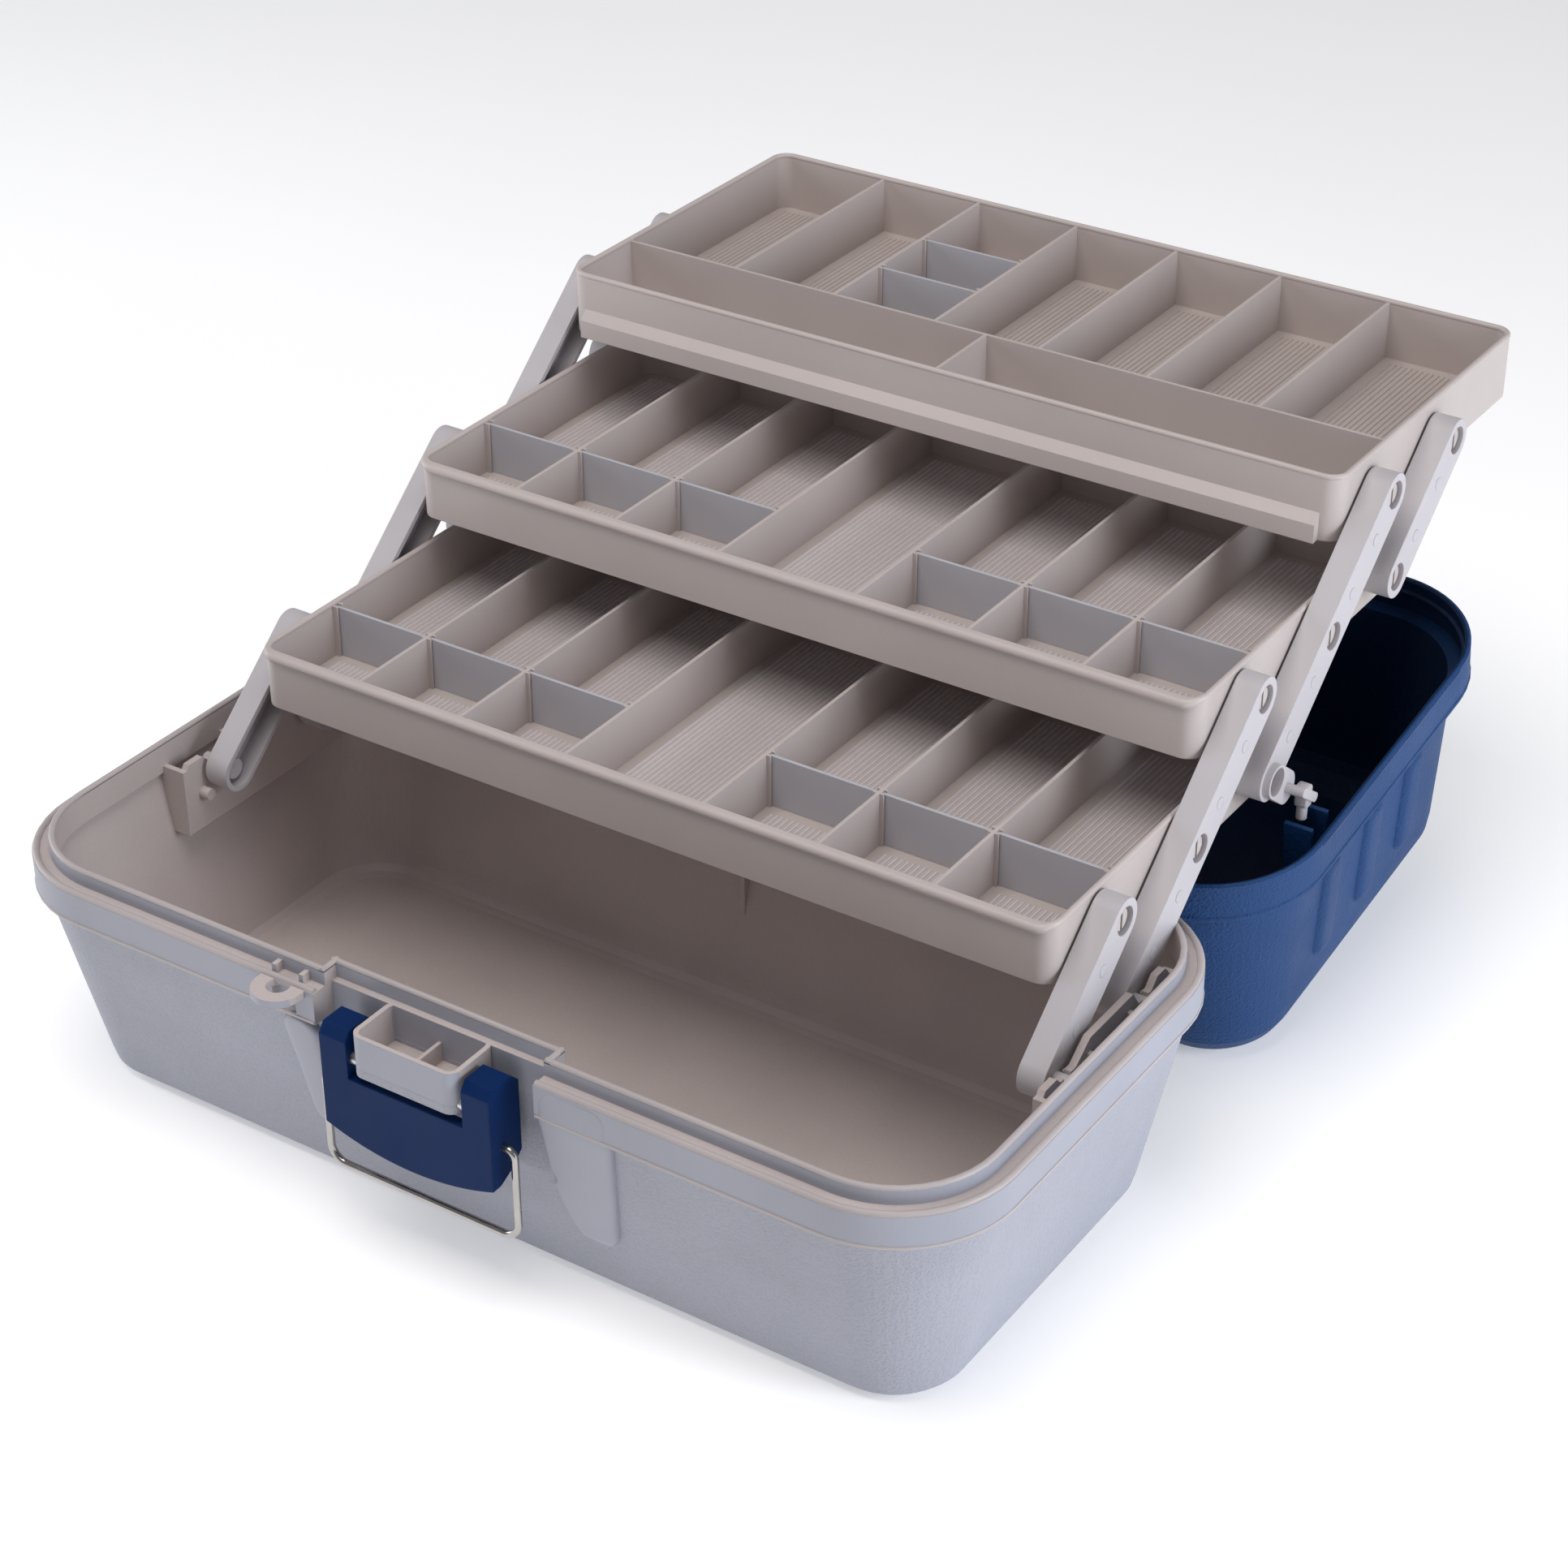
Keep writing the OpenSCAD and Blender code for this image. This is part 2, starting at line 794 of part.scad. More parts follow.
// top tray: a divided trough along the front, seven columns behind, a stepped skirt in front
module tray_3() {
    at = tray_3_at;
    floor_z = at[1] - top_tray_h + tray_floor - 0.5;
    top = at[1] - 0.8;
    low = at[1] - top_tray_h;
    color(tray_grey) {
        tray_shell(at, top_tray_h);
        across(-tray_w / 2 + tray_r, tray_w / 2 - tray_r)
            polygon([[at[0] + 1, low], [at[0] - top_step, low], [at[0] - top_step, low + 8],
                     [at[0], low + 12], [at[0] + 1, low + 12]]);
        box([-tray_w / 2 + 1, at[0] + trough_d - rib_t / 2, floor_z],
            [tray_w / 2 - 1, at[0] + trough_d + rib_t / 2, top]);
        rib_y(0, at[0] + 1, at[0] + trough_d, floor_z, top);
        both_sides()
            for (x = top_rib_x)
                rib_y(x, at[0] + trough_d, at[0] + tray_d - 1, floor_z, top);
        for (y = small_plate_y) {
            plate_guides(-top_rib_x[1], 1, at[0] + y, floor_z, top);
            plate_guides(-top_rib_x[0], -1, at[0] + y, floor_z, top);
        }
        tray_pins([pivot(2, 3), pivot(3, 3)]);
    }
}

// loose plate between two ribs at x0 and x1, standing on a tray's floor
module plate(x0, x1, y, z0, z1) {
    color(tray_grey)
        box([x0 + gap, y - plate_t / 2, z0], [x1 - gap, y + plate_t / 2, z1]);
}

module lower_plate(at, column, side) {
    walls = [rib_x[0], rib_x[1], rib_x[2], tray_w / 2 - tray_wall + rib_t / 2];
    inner = [walls[column] + rib_t / 2, walls[column + 1] - rib_t / 2];
    ends = side > 0 ? inner : [-inner[1], -inner[0]];
    plate(ends[0], ends[1], at[0] + front_cell_d, at[1] - tray_h + tray_floor + 0.05, at[1] - 1.5);
}

module top_plate(y) {
    plate(-top_rib_x[1] + rib_t / 2, -top_rib_x[0] - rib_t / 2, tray_3_at[0] + y,
          tray_3_at[1] - top_tray_h + tray_floor + 0.05, tray_3_at[1] - 1.5);
}

base_tub();
lid_shell();
hinge_pin_left();
hinge_pin_right();
latch_lever();
latch_pins();
bail_wire();
carry_handle();
tray_1();
tray_2();
tray_3();
arm_a_left();
arm_a_right();
arm_b_left();
arm_b_right();
arm_c_left();
arm_c_right();
arm_d_left();
arm_d_right();
lower_plate(tray_1_at, 2, -1);  // plate_1a
lower_plate(tray_1_at, 1, -1);  // plate_1b
lower_plate(tray_1_at, 0, -1);  // plate_1c
lower_plate(tray_1_at, 0, 1);  // plate_1d
lower_plate(tray_1_at, 1, 1);  // plate_1e
lower_plate(tray_1_at, 2, 1);  // plate_1f
lower_plate(tray_2_at, 2, -1);  // plate_2a
lower_plate(tray_2_at, 1, -1);  // plate_2b
lower_plate(tray_2_at, 0, -1);  // plate_2c
lower_plate(tray_2_at, 0, 1);  // plate_2d
lower_plate(tray_2_at, 1, 1);  // plate_2e
lower_plate(tray_2_at, 2, 1);  // plate_2f
top_plate(small_plate_y[0]);  // plate_3a
top_plate(small_plate_y[1]);  // plate_3b
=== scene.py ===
import math

import bmesh
import bpy
from mathutils import Matrix, Vector


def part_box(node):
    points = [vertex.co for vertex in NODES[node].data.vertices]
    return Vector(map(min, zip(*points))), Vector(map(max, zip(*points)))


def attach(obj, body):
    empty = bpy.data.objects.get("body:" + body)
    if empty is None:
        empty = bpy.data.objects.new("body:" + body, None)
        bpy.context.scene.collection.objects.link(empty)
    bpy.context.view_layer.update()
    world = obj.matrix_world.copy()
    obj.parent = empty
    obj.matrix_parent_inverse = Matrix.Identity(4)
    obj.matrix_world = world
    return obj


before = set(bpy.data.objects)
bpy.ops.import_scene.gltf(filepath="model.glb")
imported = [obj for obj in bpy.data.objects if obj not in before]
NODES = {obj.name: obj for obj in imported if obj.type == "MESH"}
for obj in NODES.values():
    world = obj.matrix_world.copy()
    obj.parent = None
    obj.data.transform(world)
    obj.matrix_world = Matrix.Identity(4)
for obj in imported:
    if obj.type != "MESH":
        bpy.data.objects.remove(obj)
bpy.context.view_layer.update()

MM = 0.001


# ---- materials

class Nodes:
    """A material's node tree, with short ways to add and link nodes."""

    def __init__(self, name):
        self.mat = bpy.data.materials.new(name)
        self.mat.use_nodes = True
        self.tree = self.mat.node_tree
        self.tree.nodes.clear()
        self.out = self.add("ShaderNodeOutputMaterial")
        self.bsdf = self.add("ShaderNodeBsdfPrincipled")
        self.link(self.bsdf.outputs[0], self.out.inputs[0])
        self.coord = self.add("ShaderNodeTexCoord")

    def add(self, kind, **props):
        n = self.tree.nodes.new(kind)
        for k, v in props.items():
            setattr(n, k, v)
        return n

    def link(self, a, b):
        self.tree.links.new(a, b)

    def put(self, socket, value):
        if isinstance(value, bpy.types.NodeSocket):
            self.link(value, socket)
        else:
            socket.default_value = value

    def math(self, op, a, b=0.0):
        n = self.add("ShaderNodeMath", operation=op)
        self.put(n.inputs[0], a)
        self.put(n.inputs[1], b)
        return n.outputs[0]

    def vmath(self, op, a, b=None, out=0):
        n = self.add("ShaderNodeVectorMath", operation=op)
        self.put(n.inputs[0], a)
        if b is not None:
            self.put(n.inputs[1], b)
        return n.outputs[out]

    def noise(self, scale, detail=2.0, rough=0.5, stretch=None):
        n = self.add("ShaderNodeTexNoise")
        src = self.coord.outputs["Object"]
        if stretch:
            src = self.vmath("MULTIPLY", src, stretch)
        self.link(src, n.inputs["Vector"])
        n.inputs["Scale"].default_value = scale
        n.inputs["Detail"].default_value = detail
        n.inputs["Roughness"].default_value = rough
        return n.outputs[0]

    def pebbles(self, scale):
        n = self.add("ShaderNodeTexVoronoi", feature="SMOOTH_F1")
        self.link(self.coord.outputs["Object"], n.inputs["Vector"])
        n.inputs["Scale"].default_value = scale
        n.inputs["Smoothness"].default_value = 0.35
        return n.outputs["Distance"]

    def steps(self, value, lo, hi, to_lo=0.0, to_hi=1.0):
        n = self.add("ShaderNodeMapRange", interpolation_type="SMOOTHSTEP")
        self.put(n.inputs["Value"], value)
        n.inputs["From Min"].default_value = lo
        n.inputs["From Max"].default_value = hi
        n.inputs["To Min"].default_value = to_lo
        n.inputs["To Max"].default_value = to_hi
        return n.outputs[0]

    def mix(self, factor, a, b):
        n = self.add("ShaderNodeMix", data_type="RGBA")
        self.put(n.inputs[0], factor)
        self.put(n.inputs[6], a)
        self.put(n.inputs[7], b)
        return n.outputs[2]

    def rounded(self, radius):
        n = self.add("ShaderNodeBevel", samples=4)
        n.inputs["Radius"].default_value = radius
        return n.outputs[0]

    def bump(self, height, distance, strength=1.0, normal=None):
        n = self.add("ShaderNodeBump")
        self.put(n.inputs["Height"], height)
        self.put(n.inputs["Strength"], strength)
        n.inputs["Distance"].default_value = distance
        if normal is not None:
            self.link(normal, n.inputs["Normal"])
        return n.outputs[0]

    def edges(self, rounded):
        """1 on sharp edges, falling to 0 where the rounded normal meets the flat one."""
        geometry = self.add("ShaderNodeNewGeometry")
        same = self.vmath("DOT_PRODUCT", rounded, geometry.outputs["Normal"], out=1)
        return self.steps(same, 0.985, 0.86)

    def outward(self, centre, half):
        """1 where the surface faces away from the centre of a hollow shell."""
        p = self.vmath("SUBTRACT", self.coord.outputs["Object"], centre)
        p = self.vmath("DIVIDE", p, half)
        d = self.vmath("DOT_PRODUCT", p, self.coord.outputs["Normal"], out=1)
        return self.steps(d, 0.15, 0.35)


def rgb(r, g, b):
    """8-bit display colour as linear RGBA."""
    def lin(c):
        c = c / 255
        return c / 12.92 if c < 0.04045 else ((c + 0.055) / 1.055) ** 2.4
    return (lin(r), lin(g), lin(b), 1.0)


def scaled(c, k):
    """A colour made k times as bright."""
    return (c[0] * k, c[1] * k, c[2] * k, 1.0)


def plastic(name, colour, rough, grain=None, grain_size=1.1, grain_depth=0.12, round_mm=0.5,
            tint=0.05, wear=0.35, wear_tint=1.25, inside_light_and_shade=None, gloss=0.42):
    """Moulded plastic: cloudy colour, speckle, rubbed edges, uneven gloss and leather grain.

    grain is a pair of masks, the outer face and an optional limit to it. Sizes are in millimetres.
    """
    m = Nodes(name)
    cloud = m.steps(m.noise(14, 3.0), 0.3, 0.7)
    speck = m.steps(m.noise(1500, 1.0), 0.35, 0.65)
    c = m.mix(cloud, scaled(colour, 1 - tint), scaled(colour, 1 + tint))
    # faces off the outer mask (inner walls, flat tops) take their own colour: painted light and shade on a
    # shell's inner faces, not a second plastic
    if inside_light_and_shade:
        outer = grain[0](m)
        c = m.mix(outer, m.mix(cloud, scaled(inside_light_and_shade, 1 - tint), scaled(inside_light_and_shade, 1 + tint)), c)
    c = m.mix(m.math("MULTIPLY", speck, 0.5), c, m.mix(0.5, c, scaled(colour, 1 + 1.5 * tint)))
    normal = m.rounded(round_mm * MM)
    rubbed = m.math("MULTIPLY", m.edges(normal), m.steps(m.noise(90, 4.0, 0.65), 0.42, 0.68))
    c = m.mix(m.math("MULTIPLY", rubbed, wear), c, scaled(colour, wear_tint))
    scuff = m.steps(m.noise(160, 5.0, 0.7, stretch=(1, 1, 4)), 0.56, 0.75)
    r = m.steps(m.noise(35, 3.0), 0.25, 0.75, rough - 0.05, rough + 0.05)
    r = m.math("ADD", r, m.math("MULTIPLY", scuff, 0.08))
    fine = m.bump(m.noise(420, 2.0), 0.02 * MM, 0.7, normal)
    if grain:
        mask = m.math("MULTIPLY", grain[0](m), grain[1](m)) if grain[1] else grain[0](m)
        pebble = m.pebbles(1000 / grain_size)
        crease = m.noise(700 / grain_size, 3.0, 0.6)
        height = m.math("MULTIPLY", m.math("ADD", pebble, m.math("MULTIPLY", crease, 0.8)), mask)
        fine = m.bump(height, grain_depth * MM, 1.0, fine)
        valley = m.math("MULTIPLY", m.steps(pebble, 0.55, 0.1), mask)
        c = m.mix(m.math("MULTIPLY", valley, 0.3), c, scaled(colour, 0.7))
        r = m.math("ADD", r, m.math("MULTIPLY", mask, 0.07))
    m.put(m.bsdf.inputs["Base Color"], c)
    m.put(m.bsdf.inputs["Roughness"], r)
    m.put(m.bsdf.inputs["Normal"], fine)
    m.bsdf.inputs["IOR"].default_value = 1.47
    m.bsdf.inputs["Specular IOR Level"].default_value = gloss
    return m.mat


def metal(name, colour, rough, drawn):
    """Steel with fine drawing marks and slight smudges."""
    m = Nodes(name)
    lines = m.noise(900, 2.0, stretch=drawn)
    smudge = m.steps(m.noise(60, 3.0), 0.35, 0.7)
    m.put(m.bsdf.inputs["Base Color"], m.mix(m.math("MULTIPLY", smudge, 0.5), colour, scaled(colour, 0.8)))
    m.put(m.bsdf.inputs["Roughness"], m.steps(lines, 0.3, 0.7, rough, rough + 0.12))
    m.put(m.bsdf.inputs["Normal"], m.bump(lines, 0.012 * MM, 0.6))
    m.bsdf.inputs["Metallic"].default_value = 1.0
    return m.mat


def tub_outer(m):
    """1 on the tub's outer faces."""
    return m.outward((0, 0, 0.1), (0.22, 0.112, 0.085))


def below_band(m):
    """1 on the tub's drafted walls, 0 on the smooth band round its top."""
    xyz = m.add("ShaderNodeSeparateXYZ")
    m.link(m.coord.outputs["Object"], xyz.inputs[0])
    return m.steps(xyz.outputs[2], 89.2 * MM, 88.2 * MM)


def lid_outer(m):
    """1 on the lid's outer faces, as the lid lies open."""
    low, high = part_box("lid_shell")
    centre = (0, (low.y + high.y) / 2, (low.z + high.z) / 2 + 0.02)
    return m.outward(centre, (0.22, 0.115, 0.085))


GREY = rgb(161, 163, 174)
BLUE = rgb(21, 62, 112)
# the tub's inner walls and flat tops are painted a warmer, lighter grey than its outer walls: painted
# light on them
shell = plastic("tub_plastic", GREY, 0.46, (tub_outer, below_band), 1.25, 0.2,
                inside_light_and_shade=rgb(196, 184, 179))
shell_plain = plastic("tub_plastic_smooth", GREY, 0.42)
# flange bead, lip edges and bracket rings and plates take a lighter, warmer grey than the tub: painted
# light on these raised edges
lit_shell_edge = plastic("tub_plastic_edge_lit", rgb(180, 172, 171), 0.42)
tray = plastic("tray_plastic", rgb(192, 182, 178), 0.42, tint=0.035, wear=0.3, round_mm=0.4)
plate = plastic("plate_plastic", rgb(184, 184, 190), 0.44, tint=0.03, wear=0.25, round_mm=0.3)
# floor ribs of the lower and middle trays take a lighter grey than the tray plastic: painted light on
# floors shaded by the trays above
lit_tray_ribs = plastic("tray_floor_plastic_lit", rgb(216, 211, 215), 0.46, tint=0.03, wear=0.2, round_mm=0.3)
arm = plastic("arm_plastic", rgb(189, 185, 188), 0.40, tint=0.035, wear=0.4, round_mm=0.6)
# the open lid's inner faces are painted its blue at 0.3 brightness: painted shade inside the lid
blue = plastic("lid_plastic", BLUE, 0.5, (lid_outer, None), 1.2, 0.26, tint=0.08,
               wear=0.3, wear_tint=1.8, inside_light_and_shade=scaled(BLUE, 0.3), gloss=0.3)
blue_plain = plastic("latch_plastic", rgb(0, 36, 84), 0.5, tint=0.08,
                     wear=0.45, wear_tint=2.0, round_mm=1.0, gloss=0.14)
steel = metal("pin_steel", (0.62, 0.62, 0.63, 1), 0.28, (0.1, 1, 1))
wire = metal("bail_steel", (0.46, 0.44, 0.42, 1), 0.16, (0.15, 1, 0.15))

FINISH = {"base_tub": shell, "lid_shell": blue, "latch_lever": blue_plain, "carry_handle": blue_plain,
          "hinge_pin_left": steel, "hinge_pin_right": steel, "latch_pins": steel, "bail_wire": wire}
for name, o in NODES.items():
    mat = FINISH.get(name) or {"arm": arm, "pla": plate}.get(name[:3], tray)
    for s in o.material_slots:
        s.material = mat


# ---- building blocks, in millimetres

def piece(name, verts, faces, body, mat, smooth=40):
    """A detail mesh that rides on a body; edges sharper than the smooth angle stay sharp."""
    mesh = bpy.data.meshes.new(name)
    mesh.from_pydata([Vector(v) * MM for v in verts], [], faces)
    mesh.validate()
    b = bmesh.new()
    b.from_mesh(mesh)
    bmesh.ops.recalc_face_normals(b, faces=b.faces)
    b.to_mesh(mesh)
    b.free()
    mesh.materials.append(mat)
    for p in mesh.polygons:
        p.use_smooth = True
    mesh.set_sharp_from_angle(angle=math.radians(smooth))
    o = bpy.data.objects.new(name, mesh)
    bpy.context.scene.collection.objects.link(o)
    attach(o, body)
    return o


class Build:
    """Vertices and faces gathered from several simple shapes."""

    def __init__(self):
        self.verts = []
        self.faces = []

    def loops(self, loops, closed=False, strips=False):
        """Skin over equal loops of points; open ends are capped with one face, or with strips across."""
        start = len(self.verts)
        n = len(loops[0])
        for loop in loops:
            self.verts += loop
        count = len(loops) if closed else len(loops) - 1
        for i in range(count):
            a = start + i * n
            b = start + ((i + 1) % len(loops)) * n
            for j in range(n):
                k = (j + 1) % n
                self.faces.append((a + j, a + k, b + k, b + j))
        if closed:
            return
        for a in (start, start + (len(loops) - 1) * n):
            if strips:
                self.faces += [(a + j, a + j + 1, a + n - 2 - j, a + n - 1 - j) for j in range(n // 2 - 1)]
            else:
                self.faces.append(tuple(range(a, a + n)))

    def moved(self, matrix):
        self.verts = [tuple(matrix @ Vector(v)) for v in self.verts]

    def make(self, name, body, mat, smooth=40):
        return piece(name, self.verts, self.faces, body, mat, smooth)


def rounded_path(w, d, r, notch=0.0, steps=10):
    """Points (x, y, outward x, outward y) round a rounded rectangle.

    With a notch the path is open at the front, for that far on both sides of the middle.
    """
    pts = [(notch, -d / 2, 0, -1)]
    u, v = w / 2 - r, d / 2 - r
    for cx, cy, a0 in ((u, -v, -90), (u, v, 0), (-u, v, 90), (-u, -v, 180)):
        for k in range(steps + 1):
            a = math.radians(a0 + 90 * k / steps)
            pts.append((cx + r * math.cos(a), cy + r * math.sin(a), math.cos(a), math.sin(a)))
    if notch:
        pts.append((-notch, -d / 2, 0, -1))
    return pts


def ring(build, path, profile, z, closed):
    """Sweeps a profile of (outward, up) points along a path."""
    build.loops([[(x + nx * o, y + ny * o, z + h) for o, h in profile] for x, y, nx, ny in path], closed)


def arc(cx, cz, r, a0, a1, steps=8):
    """Points on an arc, angles in degrees."""
    return [(cx + r * math.cos(math.radians(a0 + (a1 - a0) * k / steps)),
             cz + r * math.sin(math.radians(a0 + (a1 - a0) * k / steps))) for k in range(steps + 1)]


CORNER_STEPS = 6


def plate_outline(x0, x1, z0, z1, r):
    """Points round a rectangle with rounded corners, from its lower right."""
    corners = ((x1 - r, z0 + r), (x1 - r, z1 - r), (x0 + r, z1 - r), (x0 + r, z0 + r))
    pts = []
    for k, (cx, cz) in enumerate(corners):
        pts += arc(cx, cz, r, 90 * k - 90, 90 * k, CORNER_STEPS)
    return pts


# ---- tub

FLANGE_W, FLANGE_D, FLANGE_R, TUB_H = 440.0, 224.0, 49.0, 103.0
LIP_TOP = TUB_H + 6
BAND_LOW, BAND_FRONT = 89.0, -109.2
FOOT_TOP, WALL_FOOT, WALL_HEAD = 10, 91, 108.5
RECESS = 50.5
RECESS_BACK, RECESS_SIDE = -96.75, (-105, -95.5)
PAD_EDGE = ((0, -0.8), (0.1, 0.9), (0.6, 1.9), (1.5, 2.6), (2.8, 2.95), (4.0, 3.05))
PAD_STEPS = 16
PIVOT_Y, PIVOT_Z, COLUMN = 3, 94.5, 58
ARM_SPAN = 63.13
ARM_SLOPE = math.radians(40.5)


def pivot(column, row):
    """Y and Z of an arm pivot, counted from the front and from the tub."""
    return (PIVOT_Y + COLUMN * column + ARM_SPAN * math.cos(ARM_SLOPE) * row,
            PIVOT_Z + ARM_SPAN * math.sin(ARM_SLOPE) * row)


def wall_y(z):
    """Y of the tub's front wall at height z, drafted from the foot to the band under the flange."""
    return -(WALL_FOOT + (WALL_HEAD - WALL_FOOT) * (z - FOOT_TOP) / (BAND_LOW - FOOT_TOP))


rim = Build()
outer = rounded_path(FLANGE_W, FLANGE_D, FLANGE_R, RECESS + 0.4)
ring(rim, outer, [(-3.0, -0.6)] + arc(-1.6, -0.2, 1.4, 170, 0, 8) + [(0.0, -1.6)], TUB_H + 0.3, False)
ring(rim, outer, [(-0.6, 0.8), (0.25, 0.6), (0.45, 0), (0.25, -0.6), (-0.6, -0.8)], TUB_H - 13.2, False)
rim.make("tub_flange_bead", "tub", lit_shell_edge)

lip = Build()
inner = rounded_path(FLANGE_W - 14, FLANGE_D - 14, FLANGE_R - 7, RECESS + 0.2)
ring(lip, inner, [(-2.5, -0.4)] + arc(-1.25, 0, 1.25, 180, 0, 8) + [(0, -0.4)], LIP_TOP, False)
half_round = [(-1.25, -0.4)] + arc(0, 0, 1.25, 180, 0, 8) + [(1.25, -0.4)]
lip.loops([[(x, RECESS_BACK + q, LIP_TOP + h) for q, h in half_round]
           for x in (-RECESS - 2.5, RECESS + 2.5)])
for x in (-RECESS - 1.25, RECESS + 1.25):
    lip.loops([[(x + q, y, LIP_TOP + h) for q, h in half_round] for y in RECESS_SIDE])
lip.make("tub_lip_edge", "tub", lit_shell_edge)


def front_pad(build, x0, x1, z0, top, lean, side, soft):
    """Smooth raised pad on the front wall beside the latch, flush with the flange's band above it.

    lean gives how far its inner edge moves away from the latch and its outer edge towards it,
    on the way down, and soft widens the rounding of its edge.
    """
    n = CORNER_STEPS + 1
    loops = []
    for inset, out in PAD_EDGE:
        inset *= soft
        outline = plate_outline(x0 + inset, x1 - inset, z0 + inset, top - inset * 0.3, 9 - inset * 0.9)
        low_right, high_right, high_left, low_left = [outline[k:k + n] for k in range(0, 4 * n, n)]
        low, high = low_right[-1][1], high_right[0][1]
        rise = [low + (high - low) * k / PAD_STEPS for k in range(1, PAD_STEPS)]
        right = low_right + [(x1 - inset, z) for z in rise] + high_right
        left = high_left + [(x0 + inset, z) for z in reversed(rise)] + low_left
        loop = []
        for x, z in right + left:
            u = (x - x0) / (x1 - x0)
            drop = (TUB_H - z) / 73
            shift = lean[0] * (1 - u) * max(0, 50 - z) / 22 - drop * lean[1] * u
            front = wall_y(z) - 0.7 * max(0, 1 - (BAND_LOW - z) / 30)
            if z > BAND_LOW:
                front = BAND_FRONT
            loop.append((side * (x + shift), front - out, z))
        loops.append(loop)
    build.loops(loops, strips=True)


pads = Build()
front_pad(pads, RECESS + 0.1, 85, 28, 102.6, (7, 10), 1, 1.0)
front_pad(pads, RECESS + 0.1, 70.5, 30, 88.6, (4, 3), -1, 1.4)
pads.make("tub_front_pads", "tub", shell_plain, 50)


BRACKET_IN = 199.8
# the shelf and the two standing plates: Y from and to, Z from and to, and the outer end in X
BRACKET_PLATES = ((-14.5, 77.5, 87.6, 89.6, 213.5),
                  (24, 25.6, 89, 97, 213),
                  (40, 41.6, 89, 97, 213))


def cradle(build, y, z, side):
    """Raised open ring round an arm's trunnion on the bracket's web."""
    x = side * BRACKET_IN
    loops = []
    for k in range(17):
        a = math.radians(-215 + 250 * k / 16)
        c, d = math.cos(a), math.sin(a)
        section = ((-0.3, 3.4), (0.7, 3.4), (1.0, 3.7), (1.0, 4.6), (0.7, 4.9), (-0.3, 4.9))
        loops.append([(x - side * h, y + r * c, z + r * d) for h, r in section])
    build.loops(loops)


rings = Build()
for side in (-1, 1):
    for column in (0, 1):
        cradle(rings, *pivot(column, 0), side)
    for y0, y1, z0, z1, x1 in BRACKET_PLATES:
        section = ((y0, z0), (y1, z0), (y1, z1), (y0, z1))
        rings.loops([[(side * x, y, z) for y, z in section] for x in (BRACKET_IN + 2.2, x1)])
rings.make("tub_bracket_cradles", "tub", lit_shell_edge)


# ---- trays

RIB_X = (32.5, 84.0, 134.5)
TOP_RIB_X = (25.5, 76.5, 128.0)
TRAY_W, TRAY_D, TRAY_R, TRAY_WALL = 371.6, 168.0, 8.0, 2.0
RIB_T, FLOOR_T = 1.6, 1.8
LOWER_H, TOP_H = 26.0, 28.0
EDGE_R, BEAD_R = 1.25, 2.15
PITCH = 2.5
# where the floor's fine ribs run, counted back from a tray's front
FRONT_ROW, REAR_ROW, WHOLE_ROW = (6, 41), (52, 161), (6, 161)
TOP_ROW, TOP_CELLS = (49, 161), ((50, 76), (86, 112), (123, 161))


def tray_at(column, row, ahead, above):
    """Front and rim height of a tray, from the foremost arm pivot on it."""
    y, z = pivot(column, row)
    return y - ahead, z + above


def cells(walls):
    """X ranges of the compartments between walls at these distances from the middle."""
    end = TRAY_W / 2 - TRAY_WALL + RIB_T / 2
    edges = sorted([-end, end] + [-x for x in walls] + list(walls))
    return [(a + RIB_T / 2, b - RIB_T / 2) for a, b in zip(edges, edges[1:])]


def floor_ribs(build, x0, x1, y0, y1, z):
    """Fine ribs along Y that fill a compartment's floor, a few millimetres clear of its walls."""
    count = int((x1 - x0 - 6.5) / PITCH)
    first = (x0 + x1) / 2 - PITCH * (count - 1) / 2
    section = ((-0.62, 0, -0.15), (0.62, 0, -0.15), (0.28, 0.5, 0.5), (-0.28, 0.5, 0.5))
    for k in range(count):
        x = first + k * PITCH
        build.loops([[(x + u, y + s * v, z + h) for u, v, h in section] for y, s in ((y0, 1), (y1, -1))])


def lower_floor(name, front, rim_z, body):
    """Floor ribs of the lower or middle tray: a row of small cells in front and a row of long ones."""
    z = rim_z - LOWER_H + FLOOR_T
    b = Build()
    for k, (x0, x1) in enumerate(cells(RIB_X)):
        for y0, y1 in (WHOLE_ROW,) if k == 3 else (FRONT_ROW, REAR_ROW):
            floor_ribs(b, x0, x1, front + y0, front + y1, z)
    # the lighter rib plastic here is painted light on the shaded floor
    b.make(name, body, lit_tray_ribs, 30)


LOWER = tray_at(0, 1, 32, 10)
MIDDLE = tray_at(1, 2, 32, 10)
TOP = tray_at(2, 3, 26.5, 14)

lower_floor("tray_1_floor_ribs", *LOWER, "lower_tray")
lower_floor("tray_2_floor_ribs", *MIDDLE, "middle_tray")

top_floor = Build()
for k, (x0, x1) in enumerate(cells(TOP_RIB_X)):
    for y0, y1 in TOP_CELLS if k == 2 else (TOP_ROW,):
        floor_ribs(top_floor, x0, x1, TOP[0] + y0, TOP[0] + y1, TOP[1] - TOP_H + FLOOR_T)
top_floor.make("tray_3_floor_ribs", "top_tray", tray, 30)


